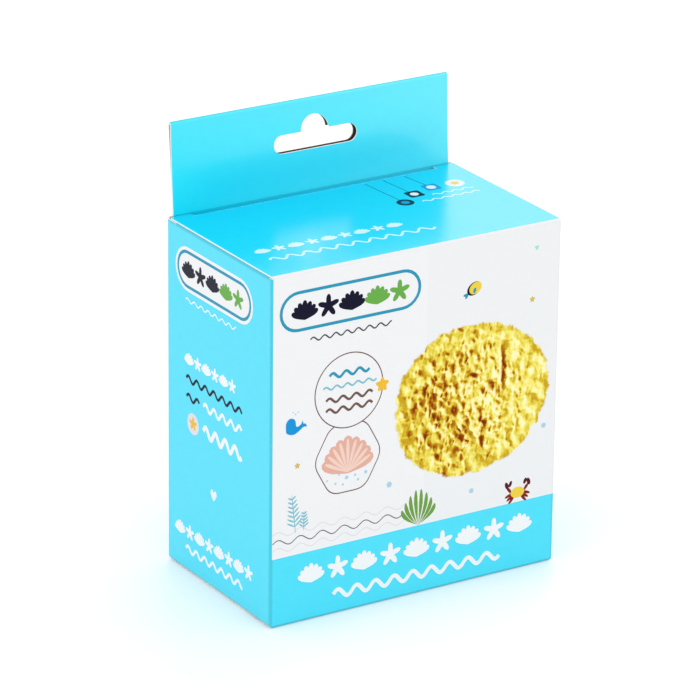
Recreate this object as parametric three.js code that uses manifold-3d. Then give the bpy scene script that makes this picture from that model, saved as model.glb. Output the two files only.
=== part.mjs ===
// A hang-tab folding carton for a small light article: one die-cut sheet of printed board,
// folded at its creases and glued. The lid is hinged on the front panel, and its tuck flap goes
// down in front of the back panel, which is carried up above the lid as a folded, double hang
// tab with a slot for a display hook. The bottom is glued shut.
// Units are millimetres, +Z is up, the front panel faces -Y, and the origin is at the middle of
// the base.
import * as THREE from 'three';
import * as BufferGeometryUtils from 'three/addons/utils/BufferGeometryUtils.js';
import Module from 'manifold-3d';

// The carton outside its board
const width = 110;
const depth = 66;
const height = 121;
const board = 0.5;
const slip = 0.05; // between two layers that lie on each other
const straight = 0.2; // flat run between a fold's round and the crease that ends it

// Hang tab
const tabHeight = 31.4; // above the lid
const tabInset = 1.9; // each end of the tab, in from the carton's corners
const tabLean = THREE.MathUtils.degToRad(4.7); // leans back from a crease level with the lid
const tabBow = 1.9; // the widest air gap between its two plies
const tabRoot = 11; // the front ply's glued foot, below the lid's level
const hookSlot = { width: 32, height: 6.2, up: 14.4, humpRadius: 5.4, humpTop: 25.7, x: 0.4 };

// Lid and tuck flap
const lidInset = 0.4;
const lockShoulder = 8.2; // each end of the lid's rear edge, slit free of the tuck flap
const rearGap = 0.8; // from the lid's rear edge to the back panel's inner face
const foldRadius = 2.5; // outside of the board where the tuck flap turns down
const tuckLength = 14; // below the lid's top
const tuckLean = THREE.MathUtils.degToRad(12); // leans in from the back panel
const tuckCorner = 7;
const tuckInset = 1.6;

// Top dust flaps
const dustReach = 31;
const dustTaper = 1 / 2.7; // the front edge falls back this much for each millimetre of reach
const dustRearGap = 5.6; // from a dust flap's rear edge to the carton's back
const dustRearTaper = 3;
const dustCorner = 5;

// Bottom flaps and the glued side seam
const bottomInset = 0.5;
const bottomInnerReach = 52;
const bottomDustReach = 34;
const bottomDustTaper = 6;
const seamWidth = 13;
const seamTaper = 9;

const front = -depth / 2;
const back = depth / 2;
const side = width / 2;
const lidUnder = height - board;
const dustTop = lidUnder - 2 * slip;

const wasm = await Module();
wasm.setup();

const axisX = new THREE.Vector3(1, 0, 0);
const axisY = new THREE.Vector3(0, 1, 0);
const axisZ = new THREE.Vector3(0, 0, 1);

// How a sheet lies: the two directions that its outline is drawn on. Its thickness goes out
// along their cross product.
const facingFront = [axisX, axisZ]; // thickness towards -Y
const facingSide = [axisY, axisZ]; // thickness towards +X
const level = [axisX, axisY]; // thickness towards +Z

const finishes = {
  whitePrint: new THREE.MeshStandardMaterial({ color: 0xf2f2f3, roughness: 0.32, metalness: 0 }),
  aquaPrint: new THREE.MeshStandardMaterial({ color: 0x5fdcf2, roughness: 0.3, metalness: 0 }),
  bareBoard: new THREE.MeshStandardMaterial({ color: 0xe9e6df, roughness: 0.8, metalness: 0 }),
};

/** An outline through corner points, each corner rounded by its third number if it has one. */
function outline(corners) {
  const shape = new THREE.Shape();
  corners.forEach(([x, y, radius = 0], i) => {
    const here = new THREE.Vector2(x, y);
    const before = new THREE.Vector2(...corners.at(i - 1));
    const after = new THREE.Vector2(...corners[(i + 1) % corners.length]);
    const start = before.sub(here).setLength(radius).add(here);
    const end = after.sub(here).setLength(radius).add(here);
    if (i === 0) {
      shape.moveTo(start.x, start.y);
    } else {
      shape.lineTo(start.x, start.y);
    }
    if (radius > 0) {
      shape.quadraticCurveTo(here.x, here.y, end.x, end.y);
    }
  });
  return shape.closePath();
}

const rectangle = (x0, y0, x1, y1) => outline([[x0, y0], [x1, y0], [x1, y1], [x0, y1]]);

/** An outline pushed out to a thickness, its near face at `offset` along the way it goes out. */
function pushed(shape, [across, along], offset, thickness) {
  const out = new THREE.Vector3().crossVectors(across, along);
  const place = new THREE.Matrix4().makeBasis(across, along, out);
  place.setPosition(out.clone().multiplyScalar(offset));
  const drawn = { depth: thickness, bevelEnabled: false, curveSegments: 8 };
  return new THREE.ExtrudeGeometry(shape, drawn).applyMatrix4(place);
}

/** A flat piece of board. */
const sheet = (shape, lie, offset) => pushed(shape, lie, offset, board);

/** The outline of bent board, seen from its end: a centre line with half a board on each side. */
function bentSection(centreLine) {
  const half = board / 2;
  const near = [];
  const far = [];
  centreLine.forEach((point, i) => {
    const before = centreLine[Math.max(i - 1, 0)];
    const after = centreLine[Math.min(i + 1, centreLine.length - 1)];
    const run = after.clone().sub(before).normalize();
    const square = new THREE.Vector2(-run.y, run.x).multiplyScalar(half);
    near.push(point.clone().sub(square));
    far.unshift(point.clone().add(square));
  });
  return new THREE.Shape([...near, ...far]);
}

/** Points on an arc about a centre, from one angle to another. */
function arc(centre, radius, from, to, steps) {
  return Array.from({ length: steps + 1 }, (_, i) => {
    const turn = THREE.MathUtils.lerp(from, to, i / steps);
    return new THREE.Vector2(Math.cos(turn), Math.sin(turn)).multiplyScalar(radius).add(centre);
  });
}

/** A closed mesh as a solid that can be cut. */
function asSolid(geometry) {
  const bare = geometry.clone().deleteAttribute('normal').deleteAttribute('uv');
  const merged = BufferGeometryUtils.mergeVertices(bare, 1e-4);
  const mesh = new wasm.Mesh({
    numProp: 3,
    vertProperties: merged.attributes.position.array,
    triVerts: Uint32Array.from(merged.index.array),
  });
  return new wasm.Manifold(mesh);
}

/** What two closed meshes share, as geometry. */
function shared(one, other) {
  const { vertProperties, triVerts } = asSolid(one).intersect(asSolid(other)).getMesh();
  const geometry = new THREE.BufferGeometry();
  geometry.setAttribute('position', new THREE.BufferAttribute(vertProperties, 3));
  geometry.setIndex(new THREE.BufferAttribute(triVerts, 1));
  geometry.computeVertexNormals();
  return geometry;
}

/** Bent board: its section run along X, then trimmed to the outline that the front sees. */
function bentBoard(centreLine, cut) {
  const run = pushed(bentSection(centreLine), facingSide, -side, width);
  return shared(run, pushed(cut, facingFront, -2 * depth, 4 * depth));
}

const carton = new THREE.Group();

/** Adds a named piece of the carton. */
function piece(name, geometry, finish) {
  const mesh = new THREE.Mesh(geometry, finishes[finish]);
  mesh.name = name;
  carton.add(mesh);
}

// Sleeve: four walls. The side walls stop under the lid, where their dust flaps turn in.
const bottomInner = board + slip;
const bottomDust = bottomInner + board + slip;

piece('front_panel', sheet(rectangle(-side, 0, side, height), facingFront, -front - board), 'whitePrint');
piece('back_panel', sheet(rectangle(-side, bottomInner, side, height), facingFront, -back), 'aquaPrint');

function sideWall() {
  return rectangle(front + board, bottomInner, back - board, dustTop);
}
piece('left_side_panel', sheet(sideWall(), facingSide, -side), 'aquaPrint');
piece('right_side_panel', sheet(sideWall(), facingSide, side - board), 'aquaPrint');

// Side seam: a strip off the left side panel, glued inside the back panel, with tapered ends.
const seamEdge = -side + board + slip;
const seamFoot = bottomDust + board + 1;
const seamHead = height - tabRoot - 1;
piece(
  'glue_flap',
  sheet(
    outline([
      [seamEdge, seamFoot],
      [seamEdge + seamWidth, seamFoot + seamTaper],
      [seamEdge + seamWidth, seamHead - seamTaper],
      [seamEdge, seamHead],
    ]),
    facingFront,
    -back + board + slip,
  ),
  'bareBoard',
);

// Hang tab. A point is given by its way up the leaning tab from the lid's level and by how far it
// stands off, towards the front, from the middle of the back ply.
const ply = board / 2;
function onTab(up, standOff) {
  const crease = new THREE.Vector2(back - ply, height);
  const offset = new THREE.Vector2(-standOff, up);
  if (up > 0) {
    offset.rotateAround(new THREE.Vector2(), -tabLean);
  }
  return offset.add(crease);
}

// The slot: a long bar with round ends and a round hump over its middle.
function hookSlotPath() {
  const { x, up, height: slotHeight, humpRadius, humpTop } = hookSlot;
  const end = slotHeight / 2;
  const reach = hookSlot.width / 2 - end;
  const low = height + up;
  const rise = humpTop - humpRadius - up - slotHeight;
  const spread = Math.acos(-rise / humpRadius);
  const path = new THREE.Path();
  path.absarc(x + reach, low + end, end, -Math.PI / 2, Math.PI / 2, false);
  path.absarc(x, height + humpTop - humpRadius, humpRadius, Math.PI / 2 - spread, Math.PI / 2 + spread, false);
  path.absarc(x - reach, low + end, end, Math.PI / 2, (3 * Math.PI) / 2, false);
  return path.closePath();
}

function tabOutline(foot) {
  const shape = rectangle(tabInset - side, foot, side - tabInset, height + 2 * tabHeight);
  shape.holes.push(hookSlotPath());
  return shape;
}

const topFold = 0.7; // radius of the board's middle where it turns over the top
const backPlyTop = tabHeight / Math.cos(tabLean) - topFold - ply - straight;
const backPly = [onTab(0, 0), onTab(backPlyTop - slip, 0)];
piece('hang_tab_back_ply', bentBoard(backPly, tabOutline(height)), 'aquaPrint');

const glued = board + slip;
const standOffAt = (t) => glued + tabBow * Math.sin(Math.PI * t) ** 2 + (2 * topFold - glued) * t ** 2;
const bowFoot = 2;
const bowSteps = 14;
const rise = Array.from({ length: bowSteps + 1 }, (_, i) => {
  const t = i / bowSteps;
  return onTab(THREE.MathUtils.lerp(bowFoot, backPlyTop, t), standOffAt(t));
});
const turn = arc(new THREE.Vector2(topFold, backPlyTop + straight), topFold, 0, Math.PI, 8);
turn.push(new THREE.Vector2(0, backPlyTop));
const over = turn.map(({ x, y }) => onTab(y, x));
piece(
  'hang_tab_front_ply',
  bentBoard([onTab(-tabRoot, glued), onTab(0, glued), ...rise, ...over], tabOutline(0)),
  'aquaPrint',
);

// Bottom: two dust flaps, the inner flap off the back panel and the outer flap off the front.
const bottomSide = side - bottomInset;
piece(
  'bottom_outer_flap',
  sheet(rectangle(-bottomSide, front + board, bottomSide, back), level, 0),
  'aquaPrint',
);
piece(
  'bottom_inner_flap',
  sheet(
    outline([
      [-bottomSide, back - board],
      [-bottomSide, back - board - bottomInnerReach, 3],
      [bottomSide, back - board - bottomInnerReach, 3],
      [bottomSide, back - board],
    ].reverse()),
    level,
    bottomInner,
  ),
  'bareBoard',
);
function bottomDustFlap(hand) {
  const edge = side - board;
  const tip = edge - bottomDustReach;
  const seamSide = back - board - slip;
  const corners = [
    [hand * edge, front + board + slip],
    [hand * edge, seamSide],
    [hand * tip, seamSide - bottomDustTaper, 2],
    [hand * tip, front + board + slip + bottomDustTaper, 2],
  ];
  return sheet(outline(hand < 0 ? corners.reverse() : corners), level, bottomDust);
}
piece('bottom_left_dust_flap', bottomDustFlap(-1), 'bareBoard');
piece('bottom_right_dust_flap', bottomDustFlap(1), 'bareBoard');

// Top dust flaps: the front edge tapers back, which lets the flaps rise while the lid opens, and
// the rear edge keeps clear of the tuck flap.
function topDustFlap(hand) {
  const edge = side - board;
  const tip = edge - dustReach;
  const nearFront = front + board + 1.2;
  const nearBack = back - dustRearGap;
  const corners = [
    [hand * edge, nearFront],
    [hand * edge, nearBack],
    [hand * tip, nearBack - dustRearTaper, dustCorner],
    [hand * tip, nearFront + dustTaper * dustReach, dustCorner],
  ];
  return sheet(outline(hand < 0 ? corners.reverse() : corners), level, dustTop - board);
}
piece('top_left_dust_flap', topDustFlap(-1), 'bareBoard');
piece('top_right_dust_flap', topDustFlap(1), 'bareBoard');

// Lid: its rear edge turns down as the tuck flap, but for a flat shoulder at each end.
const lidSide = side - lidInset;
const lidRear = back - board - rearGap;
const foldStart = lidRear - foldRadius - straight;
const foldSide = side - lockShoulder;
piece(
  'lid_panel',
  sheet(
    outline([
      [-lidSide, front + board],
      [lidSide, front + board],
      [lidSide, lidRear, 0.8],
      [foldSide, lidRear],
      [foldSide, foldStart],
      [-foldSide, foldStart],
      [-foldSide, lidRear],
      [-lidSide, lidRear, 0.8],
    ]),
    level,
    lidUnder,
  ),
  'aquaPrint',
);

// Tuck flap: the round of the fold, then a flat leaf that leans in, its ends slit free of the lid.
const foldCentre = new THREE.Vector2(foldStart + straight, height - foldRadius);
const foldLine = [
  new THREE.Vector2(foldStart + slip, height - ply),
  ...arc(foldCentre, foldRadius - ply, Math.PI / 2, -tuckLean, 10),
];
const leafRun = new THREE.Vector2(-Math.sin(tuckLean), -Math.cos(tuckLean));
const leafLength = (tuckLength - foldRadius) / Math.cos(tuckLean);
foldLine.push(foldLine.at(-1).clone().addScaledVector(leafRun, leafLength));
const tuckSide = side - tuckInset;
const leafTop = lidUnder - 0.4;
const tuckFoot = height - tuckLength;
piece(
  'tuck_flap',
  bentBoard(
    foldLine.reverse(),
    outline([
      [-tuckSide, tuckFoot, tuckCorner],
      [tuckSide, tuckFoot, tuckCorner],
      [tuckSide, leafTop - foldRadius],
      [foldSide - 0.3, leafTop - foldRadius],
      [foldSide - 0.3, height + 1],
      [-foldSide + 0.3, height + 1],
      [-foldSide + 0.3, leafTop - foldRadius],
      [-tuckSide, leafTop - foldRadius],
    ]),
  ),
  'aquaPrint',
);

export default carton;
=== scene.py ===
import math

import bpy
from mathutils import Matrix, Vector, noise
from mathutils.geometry import delaunay_2d_cdt


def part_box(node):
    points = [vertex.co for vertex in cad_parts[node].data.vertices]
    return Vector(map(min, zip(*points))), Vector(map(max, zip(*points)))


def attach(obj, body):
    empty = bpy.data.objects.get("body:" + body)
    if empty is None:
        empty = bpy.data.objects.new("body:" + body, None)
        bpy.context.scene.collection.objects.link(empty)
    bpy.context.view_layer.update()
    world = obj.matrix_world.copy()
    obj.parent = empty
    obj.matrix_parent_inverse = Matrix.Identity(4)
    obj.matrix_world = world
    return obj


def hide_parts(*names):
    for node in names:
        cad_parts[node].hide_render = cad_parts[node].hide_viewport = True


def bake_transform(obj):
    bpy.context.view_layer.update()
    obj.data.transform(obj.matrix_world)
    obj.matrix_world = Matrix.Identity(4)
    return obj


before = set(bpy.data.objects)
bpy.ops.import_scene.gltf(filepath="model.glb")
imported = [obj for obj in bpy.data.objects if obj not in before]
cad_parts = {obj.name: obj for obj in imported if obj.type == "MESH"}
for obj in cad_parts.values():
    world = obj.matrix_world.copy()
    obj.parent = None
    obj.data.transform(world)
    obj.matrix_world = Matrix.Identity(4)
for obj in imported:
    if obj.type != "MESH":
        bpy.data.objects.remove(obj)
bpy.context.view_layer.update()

# Camera. A long lens stands to the left of the carton's front and looks a little down on it, so
# that the front, the left side and the lid are seen at once.
view_turn = math.radians(-32.125)
view_rise = math.radians(21.258)
view_roll = math.radians(0.695)
lens = 240.46
camera_away = 1.56115
aim_right, aim_up = -0.0034014, 0.0697341

toward = Vector((
    math.sin(view_turn) * math.cos(view_rise),
    -math.cos(view_turn) * math.cos(view_rise),
    math.sin(view_rise),
))
level_right = Vector((0, 0, 1)).cross(toward).normalized()
level_up = toward.cross(level_right)
camera_right = math.cos(view_roll) * level_right + math.sin(view_roll) * level_up
camera_up = math.cos(view_roll) * level_up - math.sin(view_roll) * level_right
camera = bpy.data.objects.new("camera", bpy.data.cameras.new("camera"))
camera.data.lens = lens
stand = camera_right * aim_right + camera_up * aim_up + toward * camera_away
turned = Matrix((camera_right, camera_up, toward)).transposed().to_4x4()
camera.matrix_world = Matrix.Translation(stand) @ turned
bpy.context.scene.collection.objects.link(camera)
bpy.context.scene.camera = camera
bpy.context.scene.view_settings.view_transform = "Standard"

# Studio. The carton stands on a plain white table under an even white sky, with one large soft
# panel behind it for the gloss of its lid and one overhead that clears the table's shadow.
sky = bpy.data.worlds.new("sky")
bpy.context.scene.world = sky
sky.use_nodes = True
sky.node_tree.nodes["Background"].inputs["Color"].default_value = (1, 1, 1, 1)
sky.node_tree.nodes["Background"].inputs["Strength"].default_value = 0.92

table_reach = 6.0
table = bpy.data.meshes.new("table")
table.from_pydata(
    [(x * table_reach, y * table_reach, 0) for x, y in ((-1, -1), (1, -1), (1, 1), (-1, 1))],
    [],
    [(0, 1, 2, 3)],
)
table_white = bpy.data.materials.new("table_white")
table_white.use_nodes = True
table_shader = table_white.node_tree.nodes["Principled BSDF"]
table_shader.inputs["Base Color"].default_value = (1, 1, 1, 1)
table_shader.inputs["Emission Color"].default_value = (1.0, 0.98, 0.97, 1)
table_shader.inputs["Emission Strength"].default_value = 0.025
table_shader.inputs["Roughness"].default_value = 0.5
table.materials.append(table_white)
table_top = bpy.data.objects.new("table_top", table)
bpy.context.scene.collection.objects.link(table_top)


def soft_light(name, at, aim, size, power):
    """A rectangular lamp, in metres and watts, turned towards a point."""
    lamp = bpy.data.lights.new(name, "AREA")
    lamp.shape = "RECTANGLE"
    lamp.size, lamp.size_y = size
    lamp.energy = power
    holder = bpy.data.objects.new(name, lamp)
    bpy.context.scene.collection.objects.link(holder)
    holder.location = at
    holder.rotation_mode = "QUATERNION"
    holder.rotation_quaternion = (Vector(aim) - Vector(at)).to_track_quat("-Z", "Y")


soft_light("overhead_light", (-0.5, -0.6, 2.2), (0, 0, 0), (2.0, 2.0), 11.5)
soft_light("rear_light", (1.15, 1.2, 0.62), (0.03, 0, 0.12), (1.0, 0.9), 2.6)

# Front panel. The front wall of one die-cut sheet of coated board, printed aqua and white and
# laminated with a gloss film. Creases join it to both sides, the lid and the outer bottom flap.


def millimetres(corners):
    return [corner * 1000 for corner in corners]


board = 0.5
fold = 0.8  # outside of the board where it turns a corner
ink_room = 0.04  # the printed face lies this far inside the carton's size
panel_low, panel_high = millimetres(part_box("front_panel"))
half_width = panel_high.x
lid_top = panel_high.z
half_depth = -panel_low.y
AXIS_X, AXIS_Y, AXIS_Z = Vector((1, 0, 0)), Vector((0, 1, 0)), Vector((0, 0, 1))


def rectangle(left, low, right, high):
    return [(left, low), (right, low), (right, high), (left, high)]


def finished_mesh(name, points, faces, inks, flat, rub):
    """A mesh in metres from points in millimetres, each with its place on the flat sheet."""
    mesh = bpy.data.meshes.new(name)
    mesh.from_pydata([tuple(point * 0.001) for point in points], [], faces)
    slots = list(dict.fromkeys(inks))
    for ink in slots:
        mesh.materials.append(ink)
    mesh.polygons.foreach_set("material_index", [slots.index(ink) for ink in inks])
    mesh.polygons.foreach_set("use_smooth", [True] * len(faces))
    layer = mesh.uv_layers.new(name="sheet")
    decimetres = 0.01
    for loop in mesh.loops:
        layer.data[loop.index].uv = Vector(flat[loop.vertex_index]) * decimetres
    mesh.attributes.new("rub", "FLOAT", "POINT").data.foreach_set("value", rub)
    mesh.set_sharp_from_angle(angle=math.radians(32))  # cut edges are sharp, folds are not
    piece = bpy.data.objects.new(name, mesh)
    bpy.context.scene.collection.objects.link(piece)
    return piece


def board_sheet(
    name, outline, place, face, printed=(), holes=(), across=(), along=(),
    creases=lambda a, b: 0.0, inner=lambda a, b: bare_board,
):
    """A piece of board as one closed mesh. Its printed face is divided where the ink changes, its
    inner face is bare unless inner(a, b) gives another surface, and its cut edges are white.
    place(a, b, depth) says where a point of the flat sheet goes, creases(a, b) how near a fold
    it is, and across and along are lines that the mesh follows."""
    loops = [outline, *holes, *(shape for shape, _ in printed)]
    inks = [face, *(None for _ in holes), *(ink for _, ink in printed)]
    points, rings, edges = [], [], []
    for loop in loops:
        rings.append(list(range(len(points), len(points) + len(loop))))
        points += [Vector(p) for p in loop]
    past = 1  # the lines run on past the outline
    low_a, high_a = min(a for a, b in outline) - past, max(a for a, b in outline) + past
    low_b, high_b = min(b for a, b in outline) - past, max(b for a, b in outline) + past
    lines = [((a, low_b), (a, high_b)) for a in across] + [((low_a, b), (high_a, b)) for b in along]
    for ends in lines:
        edges.append((len(points), len(points) + 1))
        points += [Vector(end) for end in ends]
    flat, _, triangles, _, _, origins = delaunay_2d_cdt(points, edges, rings, 0, 1e-4, True)
    kept, all_inks = [], []
    for triangle, origin in zip(triangles, origins):
        ink = inks[max(origin)] if origin and min(origin) == 0 else None
        if ink is not None:
            kept.append(tuple(triangle))
            all_inks.append(ink)
    used = sorted({i for triangle in kept for i in triangle})
    order = {i: k for k, i in enumerate(used)}
    kept = [tuple(order[i] for i in triangle) for triangle in kept]
    flat = [tuple(flat[i]) for i in used]
    count = len(flat)
    faces = kept + [tuple(count + i for i in reversed(triangle)) for triangle in kept]
    middles = ([sum(flat[i][k] for i in triangle) / 3 for k in (0, 1)] for triangle in kept)
    all_inks += [inner(a, b) for a, b in middles]
    sides = {(t[i], t[(i + 1) % 3]) for t in kept for i in range(3)}
    for i, j in sorted(sides):
        if (j, i) not in sides:
            faces.append((i, count + i, count + j, j))
            all_inks.append(board_core)
    corners = [place(a, b, 0) for a, b in flat] + [place(a, b, board) for a, b in flat]
    rub = [creases(a, b) for a, b in flat] * 2
    return finished_mesh(name, corners, faces, all_inks, flat * 2, rub)


def wall_place(away, across, outward, flat, foot):
    """Places a wall: `a` runs across from its middle, `b` up from the table. Both its ends and
    its foot turn in by half a corner, and the wall sags in a little between them."""
    middle = lid_top / 2
    sag = 0.16

    def place(a, b, depth):
        depth += ink_room
        hollow = max(0, 1 - (a / flat) ** 2) * max(0, 1 - ((b - middle) / middle) ** 2)
        inward = depth + sag * hollow
        beyond = abs(a) - flat
        if beyond > 0:
            inward = fold - (fold - depth) * math.cos(beyond / fold)
            a = math.copysign(flat + (fold - depth) * math.sin(beyond / fold), a)
        below = foot + fold - b
        if below > 0:
            b = foot + fold - (fold - inward) * math.sin(below / fold)
            inward = fold - (fold - inward) * math.cos(below / fold)
        return across * a + outward * (away - inward) + AXIS_Z * b
    return place


cell = 7.0  # the side of a mesh cell in the flat of a panel


def wall_lines(flat, foot, top):
    """The lines that a wall's mesh follows: close together round its folds, then in cells."""
    beside, under_top = 0.3, 0.4
    turns = [fold * math.pi / 4 * k / 5 for k in range(5)]
    cells = round(2 * flat / cell)
    across = [flat * (2 * k / cells - 1) for k in range(1, cells)]
    across += [hand * (flat + turn) for hand in (-1, 1) for turn in turns]
    across += [hand * (flat - beside) for hand in (-1, 1)]
    start, rises = foot + fold + beside, round((top - foot) / cell)
    along = [start + (top - foot - fold - beside) * k / rises for k in range(rises)]
    along += [foot + fold - turn for turn in turns] + [top - under_top]
    return across, along


def wall_outline(flat, foot, top):
    reach = flat + fold * math.pi / 4
    return rectangle(-reach, foot + fold - fold * math.pi / 4, reach, top)


wear_and_shade_width = 1.1


def near_folds(flat, foot, top):
    """How close a point is to a wall's folds, from 0 to 1, for the wear and the painted shade that
    they show.
    """

    def closeness(a, b):
        gap = min(flat - abs(a), b - foot - fold, top - b)
        return max(0.0, 1 - max(gap, 0) / wear_and_shade_width)
    return closeness


class Flow:
    """What runs out of a node's socket. Arithmetic on it adds the Math nodes that do it."""

    def __init__(self, socket):
        self.socket = socket
        self.tree = socket.id_data

    def also(self, output):
        """Another output of the same node."""
        return Flow(self.socket.node.outputs[output])

    def through(self, operation, *values):
        given = dict(enumerate((self, *values)))
        return add(self.tree, "ShaderNodeMath", given, operation=operation)

    def __add__(self, other):
        return self.through("ADD", other)

    def __sub__(self, other):
        return self.through("SUBTRACT", other)

    def __rsub__(self, other):
        return add(self.tree, "ShaderNodeMath", {0: other, 1: self}, operation="SUBTRACT")

    def __mul__(self, other):
        return self.through("MULTIPLY", other)

    def __truediv__(self, other):
        return self.through("DIVIDE", other)


def wire(node, inputs):
    """A node's inputs, by name or number, set to constants or linked from flows."""
    for key, value in inputs.items():
        if isinstance(value, Flow):
            node.id_data.links.new(value.socket, node.inputs[key])
        else:
            node.inputs[key].default_value = value


def add(tree, kind, inputs=None, out=0, **settings):
    """A new node, with its settings and inputs, given as what runs out of one of its outputs."""
    node = tree.nodes.new(kind)
    for setting, value in settings.items():
        setattr(node, setting, value)
    wire(node, inputs or {})
    return Flow(node.outputs[out]) if node.outputs else None


def parts(vector):
    """A vector's three numbers."""
    x = add(vector.tree, "ShaderNodeSeparateXYZ", {0: vector})
    return x, x.also("Y"), x.also("Z")


def ranged(value, low, high, start=0.0, end=1.0, kind="LINEAR"):
    """A value's way from low to high, held at both ends, as one from start to end."""
    return add(value.tree, "ShaderNodeMapRange", {
        "Value": value, "From Min": low, "From Max": high, "To Min": start, "To Max": end,
    }, interpolation_type=kind)


def mixed(share, one, other, blend="MIX"):
    """Two colours mixed by a share."""
    given = {"Factor": share, 6: one, 7: other}
    return add(share.tree, "ShaderNodeMix", given, 2, data_type="RGBA", blend_type=blend)


def grain(place, scale, detail, rough=0.5):
    """Noise of one scale, from 0 to 1."""
    return add(place.tree, "ShaderNodeTexNoise", {
        "Vector": place, "Scale": scale, "Detail": detail, "Roughness": rough,
    })


def relief(height, strength, depth):
    """The tilt that a height gives to the light on a surface."""
    given = {"Strength": strength, "Distance": depth, "Height": height}
    return add(height.tree, "ShaderNodeBump", given)


def linear(red, green, blue):
    """A colour on the usual 0 to 255 scale, as light."""
    return tuple(
        c / 12.92 if c <= 0.04045 else ((c + 0.055) / 1.055) ** 2.4
        for c in (red / 255, green / 255, blue / 255)
    ) + (1.0,)


def sheet_place(tree, offset=(0, 0, 0)):
    """A point's place on the flat sheet, in centimetres."""
    flat = add(tree, "ShaderNodeUVMap", uv_map="sheet")
    given = {"Vector": flat, "Location": offset, "Scale": (10, 10, 10)}
    return add(tree, "ShaderNodeMapping", given)


def blank_material(name):
    material = bpy.data.materials.new(name)
    material.use_nodes = True
    return material, material.node_tree, material.node_tree.nodes["Principled BSDF"]


def film_gloss(shader, place, rub, gloss):
    """The gloss film over the print: it follows the board's fibres, and dulls where rubbed."""
    fibres, waves = grain(place, 26.0, 3.0), grain(place, 1.1, 2.0)
    fibre_height, dull_waves, dull_rubbed, dullness = 0.045, 0.08, 0.22, 0.2
    wire(shader, {
        "Normal": relief(fibres * fibre_height + waves, 0.5, 0.00012),
        "Roughness": waves * dull_waves + (rub * dull_rubbed + dullness),
        "IOR": gloss,
    })


def printed_board(name, colour, mottle=0.03, gloss=1.5, fold_shade_tone=0.8, painted_light_colour=None):
    """Ink on coated board under the gloss film: faintly uneven, darkened along a fold as painted
    shade, and white in the few specks where the fold has cracked it. It may fade into a second,
    paler colour across the sheet as a painted reflection."""
    material, tree, shader = blank_material(name)
    place = sheet_place(tree)
    ink, crack_white = colour[:3], (0.84, 0.85, 0.86, 1)
    # painted reflection: the ink grows paler along a slant across the sheet, where the gloss would
    # reflect the bright room
    if painted_light_colour:
        across, along, _ = parts(place)
        slant, start, end = 2.2, -5.0, 10.0
        ink = mixed(ranged(along * slant + across, start, end), colour, painted_light_colour)
    rub = add(tree, "ShaderNodeAttribute", out="Fac", attribute_name="rub")
    # painted shade: the ink is darkened close to a fold, where the turning board catches less light
    deep = ranged(rub, 0.78, 0.98, 1.0, fold_shade_tone)
    cloudy = ranged(grain(place, 3.0, 5.0), 0.0, 1.0, 1 - mottle, 1 + mottle)
    given = {0: ink, "Scale": deep * cloudy}
    inked = add(tree, "ShaderNodeVectorMath", given, operation="SCALE")
    cracked = ranged(rub * grain(place, 7.0, 4.0), 0.68, 0.95)
    wire(shader, {"Base Color": mixed(cracked, inked, crack_white)})
    film_gloss(shader, place, cracked, gloss)
    return material


def plain_board(name, colour, fleck, scale=16.0):
    """Board with no ink or film: matt, with darker fibres in it."""
    material, tree, shader = blank_material(name)
    fibres = grain(sheet_place(tree), scale, 6.0, 0.7)
    wire(shader, {
        "Base Color": mixed(ranged(fibres, 0.35, 0.62), fleck, colour),
        "Roughness": 0.85,
        "Normal": relief(fibres, 0.35, 0.00008),
    })
    return material


aqua_print = printed_board("aqua_print", (0.05, 0.73, 0.94, 1))
deep_aqua_print = printed_board("deep_aqua_print", (0.002, 0.65, 0.90, 1))
white_print = printed_board("white_print", linear(238, 239, 241), mottle=0.008, fold_shade_tone=0.97)
grey_white_print = printed_board(
    "grey_white_print", linear(235, 237, 239), mottle=0.008, fold_shade_tone=0.97,
)
bare_board = plain_board("bare_board", linear(219, 213, 200), linear(200, 191, 174))
board_core = plain_board("board_core", linear(252, 252, 251), linear(236, 236, 234), 30.0)

front_flat = half_width - fold
front_top = lid_top - fold
band_top = 24.2
front_place = wall_place(half_depth, AXIS_X, -AXIS_Y, front_flat, 0.0)
front_across, front_along = wall_lines(front_flat, 0.0, front_top)
front_print = [
    (rectangle(-half_width + 0.7, band_top, half_width + 1, front_top + 1), white_print),
    (rectangle(3.5, band_top, half_width + 1, front_top + 1), grey_white_print),
]

# The sponge printed on the front: a ragged, rounded mass of yellow ridges round deep brown
# holes. It is ink in the same sheet, so it is flat: light and shade are part of the picture.
sponge_x, sponge_z = 22.0, 65.0


def curved(points, steps=5):
    """A smooth closed outline through a few points."""
    count = len(points)
    outline = []
    for i in range(count):
        p0, p1, p2, p3 = (Vector(points[(i + k) % count]) for k in (-1, 0, 1, 2))
        for k in range(steps):
            t = k / steps
            outline.append(tuple(0.5 * (
                2 * p1 + (p2 - p0) * t + (2 * p0 - 5 * p1 + 4 * p2 - p3) * t ** 2
                + (3 * p1 - p0 - 3 * p2 + p3) * t ** 3
            )))
    return outline


sponge_edge = curved([
    (29.0, 1.0), (27.8, 8.5), (23.6, 14.5), (17.2, 19.8), (9.0, 23.6), (0.0, 25.2),
    (-9.5, 24.4), (-17.5, 21.0), (-23.8, 15.6), (-27.8, 8.4), (-29.4, -0.8), (-28.0, -9.6),
    (-24.6, -16.4), (-19.0, -20.8), (-11.8, -24.4), (-3.0, -26.2), (6.5, -25.4), (15.2, -22.4),
    (21.8, -17.0), (26.6, -8.6),
], steps=8)


def ragged(points, grow):
    """An outline about the sponge's middle, pushed out and its edge broken up by noise."""
    depth, size = 1.1, 3.2
    result = []
    for x, y in points:
        away = Vector((x, y)).normalized()
        rough = noise.fractal(Vector((x / size, y / size, 3.7)), 0.9, 2.0, 3)
        reach = grow + depth * rough
        result.append((sponge_x + x + away.x * reach, sponge_z + y + away.y * reach))
    return result


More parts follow.
